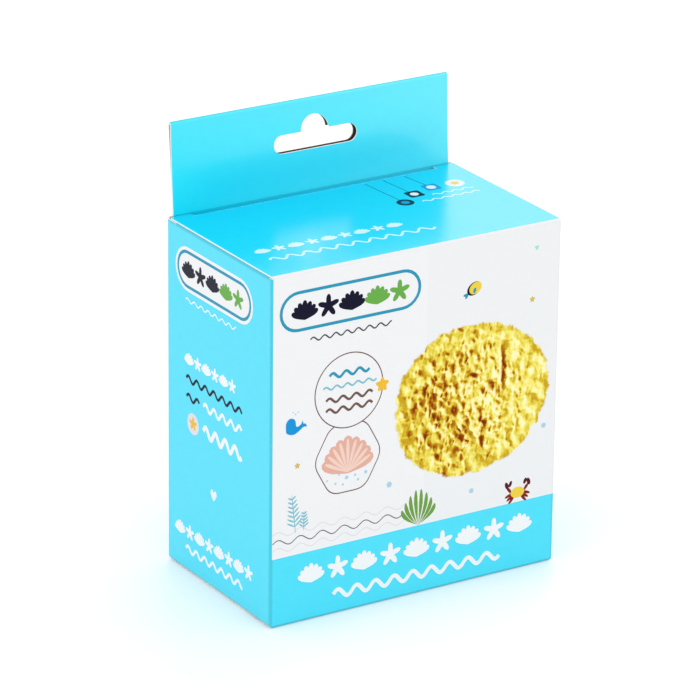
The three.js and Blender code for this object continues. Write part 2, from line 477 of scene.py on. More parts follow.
def vectors(operation, first, *others, out=0):
    """One step of arithmetic on vectors."""
    given = dict(enumerate((first, *others)))
    return add(first.tree, "ShaderNodeVectorMath", given, out, operation=operation)


def past_hole(place, scale, least, spread=0.6):
    """How far a place is outside the holes, of which each has its own radius."""
    away = add(place.tree, "ShaderNodeTexVoronoi", {"Vector": place, "Scale": scale})
    own = parts(away.also("Color"))[0]
    return away - (own * spread + least)


# the deepest clefts: middle, half width and half height, in centimetres from the sponge's middle
sponge_clefts = [
    ((1.15, 0.8), 0.11, 0.85), ((-1.2, 0.65), 0.26, 0.2), ((0.3, -0.8), 0.12, 0.24),
    ((-0.5, -1.35), 0.15, 0.26), ((0.35, -1.6), 0.13, 0.36), ((-1.4, -1.8), 0.17, 0.15),
    ((-1.7, 0.0), 0.09, 0.4), ((0.0, 0.75), 0.32, 0.12),
]


def sponge_height(place, least):
    """The sponge's surface, drawn out along its fibres: lumps, a grain on them, and holes. The
    second result goes from 0 in a hole to 1 on the flesh between them."""
    bend_by, fibre_turn, fibre_stretch = (0.25, 0.25, 0), math.radians(12), (1.05, 0.8, 1)
    hole_scale, pore_scale, lump_scale = 3.0, 5.4, 3.6
    bend = vectors("SUBTRACT", grain(place, 3.0, 2.0).also("Color"), (0.5, 0.5, 0.5))
    bent = vectors("MULTIPLY_ADD", bend, bend_by, place)
    drawn = add(place.tree, "ShaderNodeMapping", {
        "Vector": bent, "Rotation": (0, 0, fibre_turn), "Scale": fibre_stretch,
    })
    pore = past_hole(drawn, pore_scale, least - 0.03)
    past = past_hole(drawn, hole_scale, least).through("MINIMUM", pore * 0.6)
    for middle, narrow, tall in sponge_clefts:
        off = vectors("SUBTRACT", bent, (*middle, 0))
        squeezed = vectors("MULTIPLY", off, (0.5 / narrow, 0.5 / tall, 1))
        past = past.through("MINIMUM", vectors("LENGTH", squeezed, out="Value") - 0.42)
    flesh = ranged(past, -0.34, 0.3, kind="SMOOTHSTEP")
    lump_away = add(drawn.tree, "ShaderNodeTexVoronoi", {
        "Vector": drawn, "Scale": lump_scale,
    }, feature="SMOOTH_F1")
    lumps = (0.42 - lump_away) * 0.45 + grain(drawn, 2.6, 2.0, 0.55)
    return grain(drawn, 7.5, 2.0, 0.55) * 0.12 + (lumps * 1.3 + flesh * 0.5), flesh


def toned(amount, tones):
    """A run of colours, each (place from 0 to 1, red, green, blue)."""
    run = add(amount.tree, "ShaderNodeValToRGB", {"Fac": amount})
    stops = run.socket.node.color_ramp.elements
    while len(stops) < len(tones):
        stops.new(0.5)
    for stop, (at, *colour) in zip(stops, tones):
        stop.position, stop.color = at, linear(*colour)
    return run


def sponge_picture():
    """Ink in the colours of a dried sponge, lit from the upper left, its rim broken up."""
    material, tree, shader = blank_material("sponge_print")
    middle = (-sponge_x / 10, -sponge_z / 10, 0)
    place = sheet_place(tree, middle)
    to_light = (0.07, 0.05)
    beside = sheet_place(tree, (middle[0] + to_light[0], middle[1] + to_light[1], 0))
    away = vectors("LENGTH", place, out="Value")
    outer = ranged(away, 1.6, 2.7, 0.0, 0.4)
    patches = grain(place, 0.8, 1.0, 0.55)
    least = 0.03 - (parts(place)[0] * 0.08 + (patches * 0.22 + outer))
    height, flesh = sponge_height(place, least)
    slope = height - sponge_height(beside, least)[0]
    steep = ranged(away, 1.2, 3.0, 1.5, 0.9)
    brightest = (0.75, 0.3, 0)
    shine = ranged(vectors("DISTANCE", place, brightest, out="Value"), 0.2, 2.6, -0.4, -0.66)
    lit = slope * steep + (height + shine)
    surface = toned(lit.through("SMOOTH_MAX", flesh * 0.27, 0.15), [
        (0.0, 128, 54, 6), (0.1, 166, 100, 12), (0.2, 192, 142, 22), (0.3, 208, 172, 38),
        (0.42, 223, 198, 60), (0.56, 234, 216, 84), (0.72, 247, 234, 122), (0.86, 250, 241, 148),
        (1.0, 252, 248, 192),
    ])
    warm = mixed(ranged(flesh, 0.1, 0.9, 0.6, 0.0), surface, linear(232, 168, 30), "MULTIPLY")
    rim = add(tree, "ShaderNodeAttribute", out="Fac", attribute_name="rub")
    inside = grain(place, 9.0, 4.0, 0.7) * 0.9 + rim
    shown = mixed(ranged(inside, 0.5, 0.75), linear(233, 236, 238), warm)
    wire(shader, {"Base Color": shown})
    film_gloss(shader, sheet_place(tree), 0.0, 1.12)
    return material


sponge_print = sponge_picture()
sponge_rim = ragged(sponge_edge, 0.9)
sponge_inner = ragged(sponge_edge, -1.5)
front_print += [(sponge_rim, sponge_print), (sponge_inner, sponge_print)]

front_wear_and_shade = near_folds(front_flat, 0.0, front_top)
rim_width = 2.4


def within(loop, x, y):
    """Whether a point is inside a closed outline."""
    inside = False
    for (x0, y0), (x1, y1) in zip(loop, loop[1:] + loop[:1]):
        if (y0 > y) != (y1 > y) and x < x0 + (x1 - x0) * (y - y0) / (y1 - y0):
            inside = not inside
    return inside


def front_state(a, b):
    """From the sponge's rim, 0, to its inside, 1; outside it, the wear and painted shade near the
    folds.
    """
    if not within(sponge_rim, a, b):
        return front_wear_and_shade(a, b)
    return min(1.0, min(math.hypot(a - x, b - y) for x, y in sponge_rim) / rim_width)


# Marks printed on the front round the sponge: framed badges, sea creatures and small shapes in
# flat inks. They lie in the same coat of print, so they are part of the panel's own face.


def flat_ink(name, red, green, blue, gloss=1.2):
    return printed_board(name, linear(red, green, blue), gloss=gloss)


teal_ink = flat_ink("teal_ink", 38, 150, 182)
navy_ink = flat_ink("navy_ink", 8, 8, 40)
green_ink = flat_ink("green_ink", 104, 172, 74)
brown_ink = flat_ink("brown_ink", 112, 84, 78)
slate_ink = flat_ink("slate_ink", 76, 76, 82)
pale_teal_ink = flat_ink("pale_teal_ink", 122, 190, 206)
sky_blue_ink = flat_ink("sky_blue_ink", 18, 148, 216)
amber_ink = flat_ink("amber_ink", 240, 188, 48)
ochre_ink = flat_ink("ochre_ink", 208, 188, 96)
mint_ink = flat_ink("mint_ink", 150, 222, 214, 1.5)
pale_blue_ink = flat_ink("pale_blue_ink", 164, 206, 226, 1.5)
red_ink = flat_ink("red_ink", 132, 26, 20)
claw_ink = flat_ink("claw_ink", 88, 18, 26)
yellow_ink = flat_ink("yellow_ink", 238, 208, 70)
blush_ink = flat_ink("blush_ink", 222, 220, 224, 1.5)


def ring(x, y, across, along=None, count=40, turn=0.0, lobes=0, lobe_size=0.0):
    """A closed oval about a point, with lobes round it if it has any."""
    along = across if along is None else along
    points = []
    for i in range(count):
        angle = math.tau * i / count
        reach = 1 + lobe_size * math.cos(lobes * angle)
        u, v = across * reach * math.cos(angle), along * reach * math.sin(angle)
        points.append((
            x + u * math.cos(turn) - v * math.sin(turn),
            y + u * math.sin(turn) + v * math.cos(turn),
        ))
    return points


def rounded(corners, steps=6):
    """A closed outline through corners (x, y, setback), each rounded over its setback."""
    points = []
    for i, (x, y, setback) in enumerate(corners):
        here = Vector((x, y))
        before = Vector(corners[i - 1][:2]) - here
        after = Vector(corners[(i + 1) % len(corners)][:2]) - here
        if setback == 0:
            points.append((x, y))
            continue
        start = here + before.normalized() * setback
        end = here + after.normalized() * setback
        for k in range(steps + 1):
            t = k / steps
            points.append(tuple(start.lerp(here, t).lerp(here.lerp(end, t), t)))
    return points


def arc(x, y, radius, start, end, steps=12):
    """Points along a round edge, from one angle to another in degrees."""
    angles = [math.radians(start + (end - start) * k / steps) for k in range(steps + 1)]
    return [(x + radius * math.cos(angle), y + radius * math.sin(angle)) for angle in angles]


def pill(left, low, right, high):
    """A bar with round ends."""
    reach, middle = (high - low) / 2, (low + high) / 2
    right_end = arc(right - reach, middle, reach, -90, 90)
    return right_end + arc(left + reach, middle, reach, 90, 270)


def framed(left, low, right, high, edge_ink, fill_ink):
    """A bar with round ends and an outline of one stroke."""
    stroke = 1.1
    inner = pill(left + stroke, low + stroke, right - stroke, high - stroke)
    return [(pill(left, low, right, high), edge_ink), (inner, fill_ink)]


def hexagon(x, y, across, along, setback):
    """A hexagon with a flat top and foot and rounded corners."""
    turns = [math.radians(60 * k) for k in range(6)]
    reach = along / math.sin(math.pi / 3)
    return rounded([
        (x + across * math.cos(turn), y + reach * math.sin(turn), setback) for turn in turns
    ])


def starfish(x, y, reach):
    return ring(x, y, reach * 0.8, turn=math.pi / 2, lobes=5, lobe_size=0.24)


def from_corner(marks, low=0.0):
    """Marks measured from the left edge and from a level, as ones from the panel's middle."""
    return [([(x - half_width, y + low) for x, y in shape], ink) for shape, ink in marks]


front_marks = framed(3.0, 100.8, 56.0, 114.6, teal_ink, white_print)
front_marks += [
    (hexagon(29.0, 54.0, 13.2, 12.1, 3.6), brown_ink),
    (hexagon(29.0, 54.0, 12.8, 11.7, 3.5), white_print),
    (ring(29.2, 77.2, 13.0, count=64), brown_ink),
    (ring(29.2, 77.2, 12.6, count=64), white_print),
    (starfish(41.8, 76.6, 2.6), amber_ink),
    (starfish(99.2, 95.0, 1.1), ochre_ink),
    (starfish(10.0, 55.0, 1.1), ochre_ink),
    (ring(45.0, 41.0, 1.0, count=20), pale_blue_ink),
    (ring(77.0, 32.0, 0.9, count=20), pale_blue_ink),
    (ring(105.0, 49.5, 0.9, count=20), pale_blue_ink),
    (rounded([(99.4, 113.2, 0.4), (100.6, 111.6, 0.4), (101.4, 113.4, 0.4)]), mint_ink),
]

# a whale: a round body that narrows to a raised tail, and its spout in drops
front_marks += [
    (curved([
        (5.6, 68.6), (6.0, 66.8), (8.4, 66.0), (10.6, 66.9), (12.2, 68.0), (13.4, 67.9),
        (13.0, 69.0), (12.2, 69.2), (11.8, 70.3), (11.2, 69.1), (9.6, 68.6), (9.0, 71.0),
        (7.2, 71.8), (5.8, 70.6),
    ]), sky_blue_ink),
    (ring(9.2, 72.9, 0.32, count=10), pale_blue_ink),
    (ring(10.2, 73.5, 0.3, count=10), pale_blue_ink),
    (ring(8.3, 73.7, 0.28, count=10), pale_blue_ink),
]

# a fish: an oval body with a stripe, and a tail of two leaves
front_marks += [
    (ring(73.6, 100.9, 1.1, 0.5, count=16, turn=1.1), teal_ink),
    (ring(73.2, 101.3, 1.0, 0.45, count=16, turn=0.2), teal_ink),
    (ring(76.4, 103.0, 2.9, 2.15, count=28, turn=0.5), navy_ink),
    (ring(76.9, 103.1, 2.5, 1.95, count=28, turn=0.5), yellow_ink),
    (ring(76.6, 102.3, 1.0, 0.55, count=16, turn=1.3), teal_ink),
]

# a crab: three legs and a claw of two fingers on each side, and an oval shell over them. Each
# limb is an oval: away from the middle and up, long and narrow, points, turn, ink.
crab_x, crab_z = 95.3, 27.6
for hand in (-1, 1):
    limbs = [
        (3.4 - 0.5 * k, -0.6 - 0.9 * k, 1.7, 0.52, 14, -hand * (0.35 + 0.25 * k), red_ink)
        for k in range(3)
    ]
    limbs += [
        (3.3, 1.3, 1.5, 0.55, 14, hand * 0.9, red_ink),
        (4.3, 3.1, 1.35, 0.72, 16, 1.9, claw_ink),
        (2.9, 3.5, 1.15, 0.6, 16, 1.2, claw_ink),
    ]
    for away, up, *shape, ink in limbs:
        front_marks.append((ring(crab_x + hand * away, crab_z + up, *shape), ink))
front_marks.append((ring(crab_x, crab_z, 2.7, 1.95, count=28), yellow_ink))

front_panel = board_sheet(
    "front_panel_board", wall_outline(front_flat, 0.0, front_top), front_place, aqua_print,
    printed=front_print + from_corner(front_marks), across=front_across, along=front_along,
    creases=front_state,
)
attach(front_panel, "carton")
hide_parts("front_panel")

# Rows and lines printed on the front: the sea's wavy line and its echoes, coral, sprigs, rows of
# shells and starfish, and bubbles. They are a raised coat of ink, so each is a thin solid.
ink_coat = 0.014
ink_lift = 0.0012  # each mark over the one before, so that no two faces share a plane


def printing_tree(name, numbers, counts=()):
    """A tree with named sizes, in millimetres, and an ink, and what runs out of each."""
    tree = bpy.data.node_groups.new(name, "GeometryNodeTree")
    kinds = {
        **{label: "NodeSocketFloat" for label in numbers},
        **{label: "NodeSocketInt" for label in counts},
        "Ink": "NodeSocketMaterial",
    }
    for label, kind in kinds.items():
        tree.interface.new_socket(label, in_out="INPUT", socket_type=kind)
    tree.interface.new_socket("Print", in_out="OUTPUT", socket_type="NodeSocketGeometry")
    given = add(tree, "NodeGroupInput")
    return tree, {label: given.also(label) for label in kinds}


def end_tree(geometry, ink):
    """Instances become plain mesh, in the ink, as the finished tree's result."""
    plain = add(geometry.tree, "GeometryNodeRealizeInstances", {"Geometry": geometry})
    inked = add(plain.tree, "GeometryNodeSetMaterial", {"Geometry": plain, "Material": ink})
    add(inked.tree, "NodeGroupOutput", {"Print": inked})
    return inked.tree


def joined(tree, x=0.0, y=0.0, z=0.0):
    """A vector of three numbers."""
    return add(tree, "ShaderNodeCombineXYZ", {"X": x, "Y": y, "Z": z})


def shifted(geometry, **ways):
    """A geometry moved as a whole, by Translation, Rotation or Scale."""
    return add(geometry.tree, "GeometryNodeTransform", {"Geometry": geometry, **ways})


def reshaped(geometry, **ways):
    """A geometry with each point moved by an Offset or to a Position."""
    return add(geometry.tree, "GeometryNodeSetPosition", {"Geometry": geometry, **ways})


def repeated(points, geometry, **ways):
    """A geometry at each point, with its Rotation and Scale."""
    given = {"Points": points, "Instance": geometry, **ways}
    return add(points.tree, "GeometryNodeInstanceOnPoints", given)


def together(first, *others):
    """Several geometries as one."""
    whole = add(first.tree, "GeometryNodeJoinGeometry", {0: first})
    for geometry in others:
        wire(whole.socket.node, {0: geometry})
    return whole


def plate(tree, sides, radius=1.0):
    """A thin round solid about the origin."""
    given = {"Vertices": sides, "Radius": radius, "Depth": ink_coat}
    return add(tree, "GeometryNodeMeshCylinder", given)


def disc(tree, length, width, sides=14):
    """A thin oval solid whose near end is at the origin and whose long way is along X."""
    middle = joined(tree, length * 0.5, 0.0, ink_coat / 2)
    size = joined(tree, length, width, 1.0)
    return shifted(plate(tree, sides, 0.5), Translation=middle, Scale=size)


def wave_tree():
    """A line of one stroke that rises and falls along X."""
    tree, given = printing_tree("wavy_line", ("Length", "Wavelength", "Rise", "Stroke"))
    line = add(tree, "GeometryNodeCurvePrimitiveLine", {"End": joined(tree, given["Length"])})
    steps_a_wave = 18.0
    steps = given["Length"] / given["Wavelength"] * steps_a_wave
    fine = add(tree, "GeometryNodeResampleCurve", {"Curve": line, "Count": steps})
    phase = parts(add(tree, "GeometryNodeInputPosition"))[0] / given["Wavelength"] * math.tau
    lift = phase.through("SINE") * given["Rise"]
    wave = reshaped(fine, Offset=joined(tree, 0.0, lift, ink_coat / 2))
    stroke = add(tree, "GeometryNodeCurvePrimitiveQuadrilateral", {
        "Width": given["Stroke"], "Height": ink_coat,
    })
    ribbon = add(tree, "GeometryNodeCurveToMesh", {
        "Curve": wave, "Profile Curve": stroke, "Fill Caps": True,
    })
    return end_tree(ribbon, given["Ink"])


def fan_tree():
    """Blades spread about one foot, as in a coral or a shell. Swell widens each blade towards
    its tip, droop shortens those at the sides, and curl bends them up from the foot."""
    numbers = ("Length", "Width", "Swell", "Spread", "Droop", "Curl")
    tree, given = printing_tree("fan_of_blades", numbers, ("Blades",))
    along, across, _ = parts(add(tree, "GeometryNodeInputPosition"))
    wider = (along / given["Length"] - 0.5) * given["Swell"]
    flat_blade = disc(tree, given["Length"], given["Width"])
    blade = reshaped(flat_blade, Offset=joined(tree, y=across * wider))
    foot = add(tree, "GeometryNodeMeshLine", {
        "Count": given["Blades"], "Offset": (0, 0, ink_lift / 3),
    })
    off_middle = add(tree, "GeometryNodeInputIndex") / (given["Blades"] - 1.0) - 0.5
    turn = joined(tree, z=off_middle * given["Spread"] + math.pi / 2)
    size = joined(tree, 1.0 - off_middle.through("ABSOLUTE") * given["Droop"], 1.0, 1.0)
    blades = repeated(foot, blade, Rotation=turn, Scale=size)
    plain = add(tree, "GeometryNodeRealizeInstances", {"Geometry": blades})
    spot = add(tree, "GeometryNodeInputPosition")
    short = 0.6 - vectors("LENGTH", spot, out="Value") / given["Length"]
    bend = parts(spot)[0] * short * given["Curl"]
    return end_tree(reshaped(plain, Offset=joined(tree, bend)), given["Ink"])


def star_tree():
    """A starfish: a round plate drawn out into five arms."""
    tree, given = printing_tree("star", ("Reach", "Arms"))
    x, y, z = parts(add(tree, "GeometryNodeInputPosition"))
    arm = (x.through("ARCTAN2", y) * 5.0).through("COSINE")
    reach = (arm * given["Arms"] + 0.7) * given["Reach"]
    drawn = joined(tree, x * reach, y * reach, z + ink_coat / 2)
    return end_tree(reshaped(plate(tree, 50), Position=drawn), given["Ink"])


def row_tree(fan, star):
    """Shells and starfish in turn along X."""
    tree, given = printing_tree("row_of_shells", ("Size", "Spacing"), ("Count",))
    line = add(tree, "GeometryNodeMeshLine", {
        "Count": given["Count"], "Offset": joined(tree, given["Spacing"]),
    })
    odd = add(tree, "GeometryNodeInputIndex").through("MODULO", 2.0)
    size = joined(tree, given["Size"], given["Size"], 1.0)
    shell = {"Length": 0.9, "Width": 0.215, "Swell": 1.5, "Spread": 2.05, "Droop": 0.3, "Blades": 7}
    rows = []
    for chosen, drop, shape, sizes in (
        (1.0 - odd, -0.42, fan, shell), (odd, 0.0, star, {"Reach": 0.54, "Arms": 0.3}),
    ):
        sizes["Ink"] = given["Ink"]
        mark = add(tree, "GeometryNodeGroup", sizes, node_tree=shape)
        lower = shifted(line, Translation=joined(tree, y=given["Size"] * drop))
        rows.append(repeated(lower, mark, Selection=chosen, Scale=size))
    return end_tree(together(*rows), given["Ink"])


def sprig_tree():
    """A stem with pairs of leaflets that get shorter towards its tip."""
    tree, given = printing_tree("sprig", ("Height", "Leaf", "Stroke"), ("Pairs",))
    stem = shifted(disc(tree, given["Height"], given["Stroke"]), Rotation=(0, 0, math.pi / 2))
    line = add(tree, "GeometryNodeMeshLine", {
        "Count": given["Pairs"],
        "Start Location": joined(tree, y=given["Height"] * 0.18),
        "Offset": joined(tree, y=given["Height"] * 0.8 / given["Pairs"]),
    })
    leaf = disc(tree, given["Leaf"], given["Stroke"] * 1.5, sides=10)
    share = add(tree, "GeometryNodeInputIndex") / given["Pairs"]
    size = joined(tree, 1.0 - share * 0.55, 1.0, 1.0)
    splay = 0.62
    leaves = [
        repeated(line, leaf, Rotation=(0, 0, turn), Scale=size) for turn in (splay, math.pi - splay)
    ]
    return end_tree(together(stem, *leaves), given["Ink"])


def bubble_tree():
    """Bubbles scattered over an oval, small ones the most, from one fixed seed."""
    tree, given = printing_tree("bubbles", ("Across", "Along", "Size"), ("Seed",))
    field = add(tree, "GeometryNodeMeshCircle", {"Vertices": 32, "Radius": 1.0}, fill_type="NGON")
    oval = shifted(field, Scale=joined(tree, given["Across"], given["Along"], 1.0))
    points = add(tree, "GeometryNodeDistributePointsOnFaces", {
        "Mesh": oval, "Distance Min": 2.1, "Density Max": 0.5, "Seed": given["Seed"],
    }, distribute_method="POISSON")
    share = add(tree, "FunctionNodeRandomValue", {
        2: 0.35, 3: 1.0, "Seed": given["Seed"],
    }, 1, data_type="FLOAT")
    size = share * given["Size"]
    bubble = shifted(plate(tree, 18), Translation=(0, 0, ink_coat / 2))
    return end_tree(repeated(points, bubble, Scale=joined(tree, size, size, 1.0)), given["Ink"])


wavy_line = wave_tree()
fan_of_blades = fan_tree()
star_shape = star_tree()
row_of_shells = row_tree(fan_of_blades, star_shape)
sprig = sprig_tree()
bubbles = bubble_tree()


def mark(tree, ink, a, b, turn=0.0, **sizes):
    """The plain mesh that a tree makes with these sizes, and its place on a panel."""
    holder = bpy.data.objects.new(tree.name, bpy.data.meshes.new(tree.name))
    bpy.context.scene.collection.objects.link(holder)
    modifier = holder.modifiers.new("print", "NODES")
    modifier.node_group = tree
    sockets = {
        item.name: item.identifier for item in tree.interface.items_tree
        if item.item_type == "SOCKET" and item.in_out == "INPUT"
    }
    for label, value in {"Ink": ink, **sizes}.items():
        modifier[sockets[label]] = value
    result = holder.evaluated_get(bpy.context.evaluated_depsgraph_get())
    mesh = bpy.data.meshes.new_from_object(result)
    bpy.data.objects.remove(holder)
    return mesh, a, b, turn


def printed_marks(name, place, marks, left=0.0, low=0.0):
    """One piece that holds all the marks on a panel, each in its place from a left edge and a
    level."""
    points, faces, inks, flat = [], [], [], []
    for order, (mesh, a, b, turn) in enumerate(marks):
        start = len(points)
        for vertex in mesh.vertices:
            x, y, height = vertex.co
            at = (
                left + a + x * math.cos(turn) - y * math.sin(turn),
                low + b + x * math.sin(turn) + y * math.cos(turn),
            )
            flat.append(at)
            points.append(place(*at, -height - ink_lift * order))
        for face in mesh.polygons:
            faces.append(tuple(start + i for i in face.vertices))
            inks.append(mesh.materials[face.material_index])
    return finished_mesh(name, points, faces, inks, flat, [0.0] * len(points))


def wave(ink, left, middle, length, wavelength, rise, stroke):
    """A wavy line whose left end is at a point of the panel."""
    sizes = {"Length": length, "Wavelength": wavelength, "Rise": rise, "Stroke": stroke}
    return mark(wavy_line, ink, left, middle, **sizes)


def shells(ink, left, middle, size, spacing, count):
    """A row of shells and starfish whose first mark is centred on a point of the panel."""
    return mark(row_of_shells, ink, left, middle, Size=size, Spacing=spacing, Count=count)


band_white_ink = printed_board("band_white_ink", linear(240, 244, 246), mottle=0.008)
weed_ink = flat_ink("weed_ink", 108, 158, 66)
blush_shell_ink = flat_ink("blush_shell_ink", 226, 170, 152, 1.5)
pale_shell_ink = flat_ink("pale_shell_ink", 240, 206, 192, 1.5)
coral = {"Blades": 8, "Length": 13.2, "Width": 1.15, "Swell": 2.1, "Spread": 1.75, "Droop": 0.5}
shell = {"Blades": 9, "Length": 13.2, "Width": 3.4, "Swell": 1.5, "Spread": 2.2, "Droop": 0.35}
ribs = {**shell, "Length": 11.8, "Width": 1.1, "Swell": 1.3}
tall_sprig = {"Height": 14.0, "Leaf": 3.4, "Stroke": 0.4, "Pairs": 7}
short_sprig = {"Height": 7.0, "Leaf": 2.3, "Stroke": 0.36, "Pairs": 5}
front_rows = printed_marks("front_rows_print", front_place, [
    wave(slate_ink, 0.9, 29.5, 49.5, 8.25, 1.0, 0.32),
    wave(blush_ink, 0.9, 32.4, 51.0, 8.25, 0.9, 0.3),
    wave(blush_ink, 0.9, 26.9, 51.0, 8.25, 0.9, 0.3),
    mark(fan_of_blades, weed_ink, 56.4, 24.3, **coral, Curl=0.95),
    mark(sprig, pale_teal_ink, 9.5, 31.5, 0.11, **tall_sprig),
    mark(sprig, pale_teal_ink, 12.5, 32.0, -0.03, **short_sprig),
    shells(navy_ink, 12.3, 107.6, 7.5, 8.8, 3),
    shells(green_ink, 39.4, 107.6, 7.2, 8.4, 2),
    wave(slate_ink, 14.5, 97.3, 30.5, 4.2, 0.65, 0.5),
    wave(teal_ink, 21.8, 83.3, 15.0, 5.0, 0.85, 0.95),
    wave(pale_teal_ink, 19.5, 79.2, 20.0, 4.0, 0.55, 0.6),
    wave(brown_ink, 20.6, 74.9, 17.5, 5.0, 0.8, 0.85),
    wave(brown_ink, 20.6, 71.2, 17.5, 5.0, 0.8, 0.85),
    mark(bubbles, pale_blue_ink, 29.0, 47.4, Across=8.0, Along=3.4, Size=0.75, Seed=4),
    mark(fan_of_blades, blush_shell_ink, 29.0, 48.4, **shell),
    mark(fan_of_blades, pale_shell_ink, 29.0, 48.8, **ribs),
    shells(band_white_ink, 15.5, 16.3, 7.6, 10.1, 9),
    wave(band_white_ink, 24.0, 6.9, 64.5, 7.2, 1.45, 1.4),
], left=-half_width)
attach(front_rows, "carton")

# Side panels. The two narrow walls between the front and the back, printed aqua. Each stops
# under the lid, where a crease lets its dust flap turn in, and folds in at its foot.
side_low, side_high = millimetres(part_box("left_side_panel"))
side_flat = half_depth - fold
side_foot = side_low.z
side_top = side_high.z - fold
side_across, side_along = wall_lines(side_flat, side_foot, side_top)

# a framed field near the top, a round tag and a small heart, from the panel's middle
heart_x = -3.2
heart = curved([
    (0, 31.6), (1.2, 32.7), (1.9, 33.9), (1.6, 35.0), (0.8, 35.3), (0, 34.5), (-0.8, 35.3),
    (-1.6, 35.0), (-1.9, 33.9), (-1.2, 32.7),
])
side_print = [
    *framed(-27.5, 99.3, 21.5, 114.5, white_print, aqua_print),
    *framed(-26.4, 100.4, 20.4, 113.4, teal_ink, white_print),
    (ring(-16.5, 54.0, 3.7, count=28), blush_ink),
    ([(x + heart_x, y) for x, y in heart], white_print),
]
side_rows = [
    shells(navy_ink, 13.8, 106.8, 6.5, 7.6, 3),
    shells(green_ink, 37.6, 106.8, 6.4, 7.6, 2),
    wave(band_white_ink, 12.0, 96.3, 32.0, 4.4, 0.6, 0.45),
    shells(band_white_ink, 14.0, 75.9, 4.6, 5.5, 6),
    wave(navy_ink, 12.2, 69.0, 35.5, 5.4, 1.05, 1.0),
    wave(navy_ink, 12.4, 62.6, 8.1, 5.4, 1.05, 1.0),
    wave(band_white_ink, 23.2, 62.6, 24.3, 5.4, 1.2, 1.15),
    mark(star_shape, amber_ink, 16.5, 54.0, Reach=2.5, Arms=0.26),
    wave(band_white_ink, 23.2, 54.0, 24.3, 6.2, 1.7, 1.6),
    shells(band_white_ink, 8.2, 14.6, 5.2, 6.3, 8),
    wave(band_white_ink, 12.0, 8.4, 36.5, 5.4, 1.05, 1.05),
]


def side_outline(flap_low, flap_high, hand):
    """The wall's edge stands up to the lid beyond both ends of the dust flap's crease."""
    slit = 0.2
    near, far = sorted((hand * (flap_low.y - slit), hand * (flap_high.y + slit)))
    *foot, right_top, left_top = wall_outline(side_flat, side_foot, side_high.z - 0.1)
    edge = right_top[1]
    notch = [(far, edge), (far, side_top), (near, side_top), (near, edge)]
    return [*foot, right_top, *notch, left_top]


for side_name, hand in (("left", -1), ("right", 1)):
    side_place = wall_place(half_width, AXIS_Y * hand, AXIS_X * hand, side_flat, side_foot)
    flap_low, flap_high = millimetres(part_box(f"top_{side_name}_dust_flap"))
    wall = board_sheet(
        f"{side_name}_side_board", side_outline(flap_low, flap_high, hand), side_place, aqua_print,
        printed=side_print, across=side_across, along=side_along,
        creases=near_folds(side_flat, side_foot, side_top),
    )
    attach(wall, "carton")
    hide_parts(f"{side_name}_side_panel")
    rows = printed_marks(f"{side_name}_side_rows_print", side_place, side_rows, left=-half_depth)
    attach(rows, "carton")

# Back panel and its seam. The rear wall is printed aqua, and a strip off the left side panel,
# left bare, is glued inside it to close the sleeve.
back_low, _ = millimetres(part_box("back_panel"))
back_place = wall_place(half_depth, -AXIS_X, AXIS_Y, front_flat, back_low.z)
back_across, back_along = wall_lines(front_flat, back_low.z, lid_top)


def both_sides(right):
    """A closed outline, the same on both sides, from its right side's corners upwards."""
    left = [(-x, y, setback) for x, y, setback in reversed(right)]
    return rounded([left[-1], *right, *left[:-1]])


label_field = both_sides([(40, 44, 6), (40, 100, 6)])
back_panel = board_sheet(
    "back_panel_board", wall_outline(front_flat, back_low.z, lid_top), back_place, aqua_print,
    printed=[(label_field, white_print)], across=back_across, along=back_along,
    creases=near_folds(front_flat, back_low.z, lid_top + 9),
)
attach(back_panel, "carton")
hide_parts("back_panel")

back_rows = printed_marks("back_rows_print", back_place, [
    *(
        wave(slate_ink, -32.0, 90.0 - 6.2 * k, 64.0 - 9.0 * (k % 3), 2.6, 0.6, 0.34)
        for k in range(7)
    ),
    shells(band_white_ink, -32.4, 112.0, 5.6, 8.1, 9),
    wave(band_white_ink, -46.0, 27.0, 92.0, 8.25, 1.4, 0.5),
    wave(band_white_ink, -46.0, 22.5, 92.0, 8.25, 1.4, 0.5),
])
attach(back_rows, "carton")


def flat_place(across, along, outward, level, sag=0.0, middle=(0, 0), reach=(1, 1)):
    """Places a level or upright flap, its printed face at a level along the outward way."""

    def place(a, b, depth):
        u, v = (a - middle[0]) / reach[0], (b - middle[1]) / reach[1]
        hollow = sag * max(0, 1 - u * u) * max(0, 1 - v * v)
        return across * a + along * b + outward * (level - ink_room - hollow - depth)
    return place


def flap_lines(low, high, size=cell):
    """Evenly spaced lines for a flat piece's mesh."""
    count = max(2, round((high - low) / size))
    return [low + (high - low) * k / count for k in range(1, count)]


seam_low, seam_high = millimetres(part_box("glue_flap"))
seam_taper = 9.0
glue_flap = board_sheet(
    "glue_flap_board",
    [
        (-seam_high.x, seam_low.z + seam_taper), (-seam_low.x, seam_low.z),
        (-seam_low.x, seam_high.z), (-seam_high.x, seam_high.z - seam_taper),
    ],
    flat_place(-AXIS_X, AXIS_Z, AXIS_Y, seam_high.y + ink_room), bare_board,
    along=flap_lines(seam_low.z, seam_high.z),
)
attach(glue_flap, "carton")
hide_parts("glue_flap")

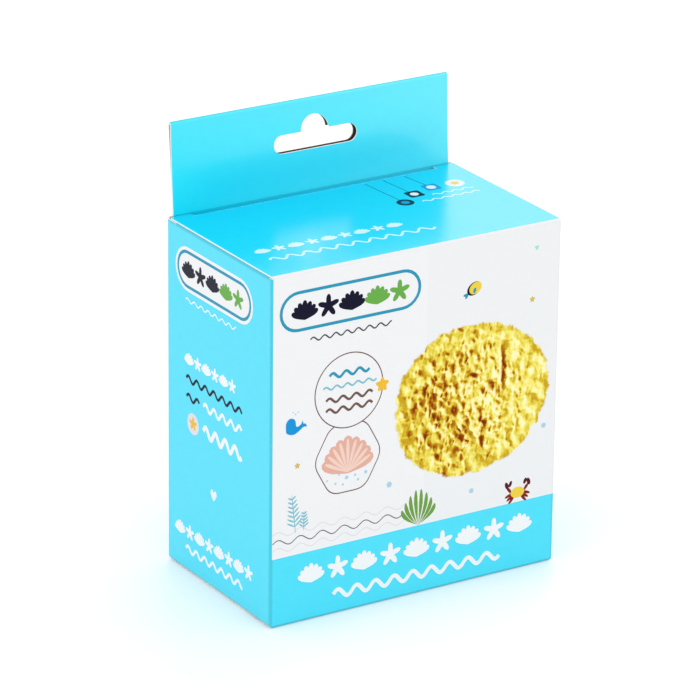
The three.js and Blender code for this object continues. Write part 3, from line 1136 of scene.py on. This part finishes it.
# Hang tab. The back panel runs on above the lid, turns over at the top and comes down again in
# front of itself as a second ply, whose foot is glued inside. Both plies have the hook's slot.
tab_low, tab_high = millimetres(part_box("hang_tab_front_ply"))
tab_half = tab_high.x
tab_lean = math.radians(4.7)
tab_foot = lid_top - tab_low.z
top_turn = 0.7  # the middle of the board turns over on this radius
glued_gap = board + 0.05
tab_bow = 1.9
bow_start = 2.0
ply_short = 0.2  # the back ply ends this far under the turn
top_rise = (tab_high.z - lid_top - top_turn * math.sin(tab_lean)) / math.cos(tab_lean)
back_ply_top = top_rise - top_turn - board / 2 - ply_short
turn_start = back_ply_top + ply_short
slot_x, slot_up, slot_half, slot_height = 0.4, 14.45, 16.0, 6.2
hump_radius, hump_top = 5.4, 25.8


def on_tab(up, off):
    """A point up the leaning tab from the lid's level, and off it towards the front."""
    lean = tab_lean if up > 0 else 0.0
    y = half_depth - board / 2 - off * math.cos(lean) + up * math.sin(lean)
    z = lid_top + off * math.sin(lean) + up * math.cos(lean)
    return Vector((0, y, z))


def front_ply_middle(up, bow):
    """The middle of the front ply's board: glued foot, bowed rise, turn over the top."""
    if up <= bow_start:
        return on_tab(up, glued_gap)
    if up <= back_ply_top:
        t = (up - bow_start) / (back_ply_top - bow_start)
        off = glued_gap + bow * math.sin(math.pi * t) ** 2
        return on_tab(up, off + (2 * top_turn - glued_gap) * t ** 2)
    turn = min((up - turn_start) / top_turn, math.pi)
    if turn <= 0:
        return on_tab(up, 2 * top_turn)
    return on_tab(turn_start + top_turn * math.sin(turn), top_turn + top_turn * math.cos(turn))


def front_ply_place(a, up, depth):
    """The printed face is the one towards the front; the board's inner face is behind it. The
    bow dies away at the ends, where the two plies come together."""
    bow = tab_bow * (1 - (a / tab_half) ** 4)
    here = front_ply_middle(up, bow)
    run = (front_ply_middle(up + 0.02, bow) - front_ply_middle(up - 0.02, bow)).normalized()
    facing = run.cross(AXIS_X).normalized() * -1
    return AXIS_X * a + here + facing * (board / 2 - ink_room - depth)


def hook_slot():
    """A long bar with round ends and a round hump over its middle, as one outline."""
    end = slot_height / 2
    reach, middle, hump_middle = slot_half - end, slot_up + end, hump_top - hump_radius
    spread = math.degrees(math.acos(-(hump_middle - slot_up - slot_height) / hump_radius))
    return [
        *arc(slot_x + reach, middle, end, -90, 90),
        *arc(slot_x, hump_middle, hump_radius, 90 - spread, 90 + spread, 18),
        *arc(slot_x - reach, middle, end, 90, 270),
    ]


tab_fold = back_ply_top + 1.3
fold_reach, foot_reach, most_worn_and_shaded = 0.9, 2.0, 0.92


def tab_wear_and_shade(a, up):
    """How close a point of the tab is to its top fold or to its foot crease, for the wear and the
    painted shade there.
    """
    by_fold = min(most_worn_and_shaded, 1.4 - abs(up - tab_fold) / fold_reach)
    return max(0.0, by_fold, most_worn_and_shaded - abs(up) / foot_reach)


# the tab's ink is painted paler towards its upper right as a reflection, and painted darker near
# its top fold and its foot as shade
tab_print = printed_board(
    "tab_print", (0.0, 0.78, 0.96, 1), fold_shade_tone=0.62, painted_light_colour=(0.13, 0.86, 0.98, 1),
)
rise_lines = [bow_start + (back_ply_top - bow_start) * k / 16 for k in range(17)]
turn_lines = [turn_start + math.pi * top_turn * k / 12 for k in range(13)]
front_ply = board_sheet(
    "hang_tab_front_board", rectangle(-tab_half, -tab_foot, tab_half, turn_lines.pop()),
    front_ply_place, tab_print, holes=[hook_slot()], across=flap_lines(-tab_half, tab_half),
    along=[0.0, 0.5, 1.0, *rise_lines, *turn_lines], creases=tab_wear_and_shade,
)
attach(front_ply, "carton")
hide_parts("hang_tab_front_ply")


def back_ply_place(a, up, depth):
    return AXIS_X * -a + on_tab(up, -board / 2 + ink_room + depth)


# a dark brown painted shadow, for the narrow gap between the two plies, covers the back ply's inner
# face but not out to its ends
gap_shadow_short = 8.0
gap_shadow_board = plain_board("gap_shadow_board", linear(84, 68, 52), linear(66, 52, 40))
back_ply = board_sheet(
    "hang_tab_back_board", rectangle(-tab_half, 0.02, tab_half, back_ply_top - 0.05),
    back_ply_place, aqua_print, holes=[[(-x, y) for x, y in reversed(hook_slot())]],
    across=flap_lines(-tab_half, tab_half), along=flap_lines(0, back_ply_top), creases=tab_wear_and_shade,
    inner=lambda a, up: gap_shadow_board if abs(a) < tab_half - gap_shadow_short else bare_board,
)
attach(back_ply, "carton")
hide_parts("hang_tab_back_ply")

# Bottom. Two dust flaps turn in off the side panels, the inner flap off the back panel lies
# under them, and the outer flap off the front panel is glued over it and shows its print.
_, outer_high = millimetres(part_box("bottom_outer_flap"))
bottom_inset = 0.5  # the two glued flaps stay this far short of the side panels' faces
outer_half = outer_high.x - bottom_inset
outer_edge = side_flat + fold * math.pi / 4


def outer_flap_place(a, b, depth):
    """`a` runs across and `b` forwards; the front edge turns up to meet the front panel."""
    depth += ink_room
    beyond = b - side_flat
    inward = depth
    if beyond > 0:
        b = side_flat + (fold - depth) * math.sin(beyond / fold)
        inward = fold - (fold - depth) * math.cos(beyond / fold)
    return AXIS_X * a - AXIS_Y * b + AXIS_Z * inward


outer_lines = flap_lines(-outer_high.y, side_flat)
outer_lines += [side_flat + (outer_edge - side_flat) * k / 5 for k in range(5)]
outer_flap = board_sheet(
    "bottom_outer_board", rectangle(-outer_half, -outer_high.y, outer_half, outer_edge),
    outer_flap_place, aqua_print, across=flap_lines(-outer_high.x, outer_high.x),
    along=outer_lines, creases=lambda a, b: max(0.0, 1 - max(side_flat - b, 0) / wear_and_shade_width),
)
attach(outer_flap, "carton")
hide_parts("bottom_outer_flap")

inner_low, inner_high = millimetres(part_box("bottom_inner_flap"))
inner_half = inner_high.x - bottom_inset
inner_flap = board_sheet(
    "bottom_inner_board",
    both_sides([(inner_half, -inner_high.y, 0), (inner_half, -inner_low.y, 3)]),
    flat_place(AXIS_X, -AXIS_Y, -AXIS_Z, -inner_low.z + ink_room), aqua_print,
    across=flap_lines(-inner_high.x, inner_high.x), along=flap_lines(-32, 19),
)
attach(inner_flap, "carton")
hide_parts("bottom_inner_flap")

bottom_taper = 6.0
for side_name, hand in (("left", -1), ("right", 1)):
    dust_low, dust_high = millimetres(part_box(f"bottom_{side_name}_dust_flap"))
    root, tip = (dust_low.x, dust_high.x) if hand < 0 else (dust_high.x, dust_low.x)
    corners = [
        (root, -dust_high.y, 0), (tip, -dust_high.y + bottom_taper, 2),
        (tip, -dust_low.y - bottom_taper, 2), (root, -dust_low.y, 0),
    ]
    flap = board_sheet(
        f"bottom_{side_name}_dust_board", rounded(corners if hand < 0 else corners[::-1]),
        flat_place(AXIS_X, -AXIS_Y, -AXIS_Z, -dust_low.z + ink_room), aqua_print,
        across=flap_lines(dust_low.x, dust_high.x), along=flap_lines(-32, 32),
    )
    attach(flap, "carton")
    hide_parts(f"bottom_{side_name}_dust_flap")

# Top dust flaps. One turns in off each side panel under the lid. Its front edge tapers back and
# its corners are round, and a rounded crease joins it to its side panel.
dust_front_taper = 31 / 2.7  # its front edge runs back one in 2.7 over the flap's reach
dust_rear_taper, dust_corner = 3.0, 5.0


def crease_strip(name, span, across, corner, start_outward, end_outward, face):
    """The rounded board between two panels that are hinged to each other, with its wear and a
    painted shade over the whole of it.
    `a` runs along the crease and `b` round it, from the panel whose printed face looks along the
    start's way to the one whose face looks along the end's."""
    centre = corner - (start_outward + end_outward) * fold
    end = fold * math.pi / 2

    def place(a, b, depth):
        turn = b / fold
        facing = start_outward * math.cos(turn) + end_outward * math.sin(turn)
        return across * a + centre + facing * (fold - ink_room - depth)

    return board_sheet(
        name, rectangle(span[0], 0, span[1], end), place, face,
        across=flap_lines(*span, 9.0), along=[end * k / 10 for k in range(1, 10)],
        creases=lambda a, b: 1.0,
    )


for side_name, hand in (("left", -1), ("right", 1)):
    dust_low, dust_high = millimetres(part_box(f"top_{side_name}_dust_flap"))
    edge = half_width - fold
    tip = dust_high.x if hand < 0 else -dust_low.x
    near, far = dust_low.y, dust_high.y
    corners = [
        (-edge, near, 0), (tip, near + dust_front_taper, dust_corner),
        (tip, far - dust_rear_taper, dust_corner), (-edge, far, 0),
    ]
    if hand > 0:
        corners = [(-x, y, setback) for x, y, setback in reversed(corners)]
    flap = board_sheet(
        f"top_{side_name}_dust_board", rounded(corners),
        flat_place(AXIS_X, AXIS_Y, AXIS_Z, dust_high.z), aqua_print,
        across=flap_lines(-edge, edge), along=flap_lines(near, far),
    )
    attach(flap, f"{side_name}_dust")
    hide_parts(f"top_{side_name}_dust_flap")
    outward = AXIS_X * hand
    corner = outward * half_width + AXIS_Z * dust_high.z
    strip = crease_strip(
        f"{side_name}_dust_crease_board", (hand * near, hand * far)[::hand], AXIS_Y * hand,
        corner, outward, AXIS_Z, aqua_print,
    )
    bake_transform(strip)

# Lid. The front panel's crease carries it, and its rear edge has a flat shoulder at each end
# where it is slit free of the tuck flap. The crease and the tuck flap are built as rounded folds.
_, lid_high = millimetres(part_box("lid_panel"))
tuck_low, tuck_high = millimetres(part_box("tuck_flap"))
lid_half = lid_high.x
lid_front = -half_depth + fold
tuck_half = tuck_high.x
lid_inset, shoulder = 0.4, 8.2
fold_half = lid_half + lid_inset - shoulder
fold_start = 29.0
tuck_round = 2.5
tuck_lean = math.radians(12)
lid_place = flat_place(
    AXIS_X, AXIS_Y, AXIS_Z, lid_top, sag=0.12, middle=(0, -2), reach=(lid_half, lid_high.y - 3),
)


# the lid's ink shows wear and painted shade near its front crease and its rear fold
def lid_wear_and_shade(a, b):
    return max(0.0, 1 - max(b - lid_front, 0), 0.8 - max(fold_start - b, 0))


def thread(top, foot):
    """A thin straight stroke from one point to another."""
    start, end, half = Vector(top), Vector(foot), 0.15
    run = end - start
    side = Vector((-run.y, run.x)).normalized() * half
    return [tuple(point) for point in (start - side, end - side, end + side, start + side)]


def square(x, y, size):
    half = size / 2
    sides = rectangle(x - half, y - half, x + half, y + half)
    return rounded([(*corner, 1) for corner in sides], steps=3)


# four tags on the lid, the first three hung on threads drawn from its rear edge
lid_tags = [
    (thread((72.5, 61.0), (74.2, 40.0)), navy_ink),
    (thread((79.6, 61.0), (81.2, 45.0)), navy_ink),
    (thread((88.0, 61.0), (89.8, 48.0)), navy_ink),
    (ring(74.5, 39.0, 3.0, count=28), navy_ink),
    (ring(74.5, 39.0, 1.5, count=20), sky_blue_ink),
    (square(81.5, 44.5, 5.6), navy_ink),
    (ring(81.5, 44.5, 1.5, count=20), white_print),
    (square(90.0, 47.5, 5.6), sky_blue_ink),
    (ring(90.0, 47.5, 1.7, count=20), white_print),
    (ring(99.0, 47.0, 3.3, count=28), blush_ink),
    (starfish(99.0, 47.0, 1.7), amber_ink),
]
lid_panel = board_sheet(
    "lid_board",
    both_sides([
        (lid_half, lid_front, 0), (lid_half, lid_high.y, 0.8), (fold_half, lid_high.y, 0),
        (fold_half, fold_start, 0),
    ]),
    lid_place, deep_aqua_print, printed=from_corner(lid_tags, -half_depth),
    across=flap_lines(-lid_half, lid_half, 6.0),
    along=[lid_front + 0.4, *flap_lines(lid_front, fold_start, 6.0), fold_start - 0.4],
    creases=lid_wear_and_shade,
)
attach(lid_panel, "lid")
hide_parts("lid_panel")

lid_white_ink = flat_ink("lid_white_ink", 214, 240, 248, 1.5)
lid_rows = printed_marks("lid_rows_print", lid_place, [
    shells(lid_white_ink, 10.0, 22.5, 4.6, 6.2, 9),
    wave(lid_white_ink, 8.0, 14.3, 62.0, 6.2, 1.35, 0.9),
    wave(lid_white_ink, 86.5, 41.0, 15.5, 3.9, 0.55, 0.6),
    wave(lid_white_ink, 80.0, 37.0, 22.0, 3.9, 0.55, 0.6),
], left=-half_width, low=-half_depth)
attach(lid_rows, "lid")

hinge = AXIS_Y * -half_depth + AXIS_Z * lid_top
lid_crease = crease_strip(
    "lid_crease_board", (-lid_half + 0.2, lid_half - 0.2), AXIS_X,
    hinge, -AXIS_Y, AXIS_Z, white_print,
)
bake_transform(lid_crease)

fold_flat = 0.2
fold_turn = math.pi / 2 + tuck_lean
fold_run = fold_flat + tuck_round * fold_turn
leaf_foot = tuck_round * math.sin(tuck_lean)


def tuck_place(a, s, depth):
    """`s` runs from the lid's rear crease round the fold and down the leaf, which leans in."""
    depth += ink_room
    if s <= fold_flat:
        return Vector((a, fold_start + s, lid_top - depth))
    turn = min((s - fold_flat) / tuck_round, fold_turn)
    facing = AXIS_Y * math.sin(turn) + AXIS_Z * math.cos(turn)
    centre = Vector((a, fold_start + fold_flat, lid_top - tuck_round))
    down = AXIS_Y * math.cos(fold_turn) - AXIS_Z * math.sin(fold_turn)
    return centre + facing * (tuck_round - depth) + down * max(0, s - fold_run)


neck_half = fold_half - 0.3  # the fold stays clear of the slits at both its ends
leaf_start = fold_run + 0.4
leaf_end = fold_run + (lid_top - tuck_round - leaf_foot - tuck_low.z) / math.cos(tuck_lean) - 0.1
fold_lines = [fold_flat + tuck_round * fold_turn * k / 12 for k in range(13)]
tuck_flap = board_sheet(
    "tuck_flap_board",
    both_sides([
        (neck_half, 0.04, 0), (neck_half, leaf_start, 0), (tuck_half, leaf_start, 0),
        (tuck_half, leaf_end, 7),
    ]),
    tuck_place, deep_aqua_print, across=flap_lines(-tuck_half, tuck_half),
    along=fold_lines + flap_lines(leaf_start, leaf_end, 4.0),
    # wear and painted shade at the tuck flap's fold
    creases=lambda a, s: max(0.0, 0.8 - abs(s - 0.3) / 0.9),
)
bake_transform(tuck_flap)
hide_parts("tuck_flap")
